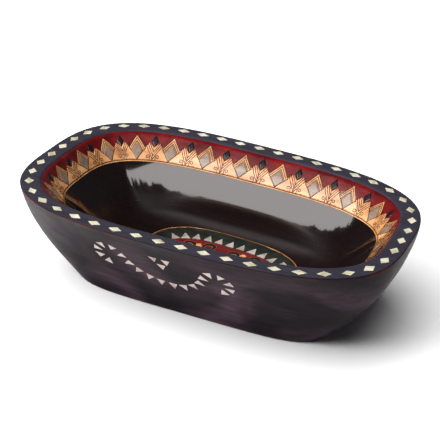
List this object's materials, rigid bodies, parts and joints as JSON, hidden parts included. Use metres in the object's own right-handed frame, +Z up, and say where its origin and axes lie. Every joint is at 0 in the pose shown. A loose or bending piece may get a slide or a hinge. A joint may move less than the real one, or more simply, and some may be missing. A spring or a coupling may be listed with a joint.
{
  "type": "carved wooden bowl",
  "caption": "Long oval carved wooden bowl with a wide flat rim, shell inlay in rim, walls and floor, and a painted zigzag border inside the rim.",
  "frame": {"origin": "centre of the bowl's footprint box, on the surface it stands on", "axes": "+X along the bowl's length towards its slightly narrower end, +Y towards the back long wall, +Z up out of the mouth"},
  "size_m": [0.35, 0.2252, 0.0951],
  "materials": {
    "lacquered_wood": "glossy dark lacquer",
    "shell": "polished mother-of-pearl shell, satin"
  },
  "bodies": {
    "root": {"bowl_body": "lacquered_wood", "rim_diamonds_front": "shell", "rim_diamonds_back": "shell", "rim_diamonds_left": "shell", "rim_diamonds_right": "shell", "front_left_curl": "shell", "front_swag": "shell", "front_right_curl": "shell", "front_sprig": "shell", "back_left_curl": "shell", "back_swag": "shell", "back_right_curl": "shell", "back_sprig": "shell", "floor_teeth_front": "shell", "floor_teeth_back": "shell", "floor_teeth_left": "shell", "floor_teeth_right": "shell"}
  },
  "joints": []
}
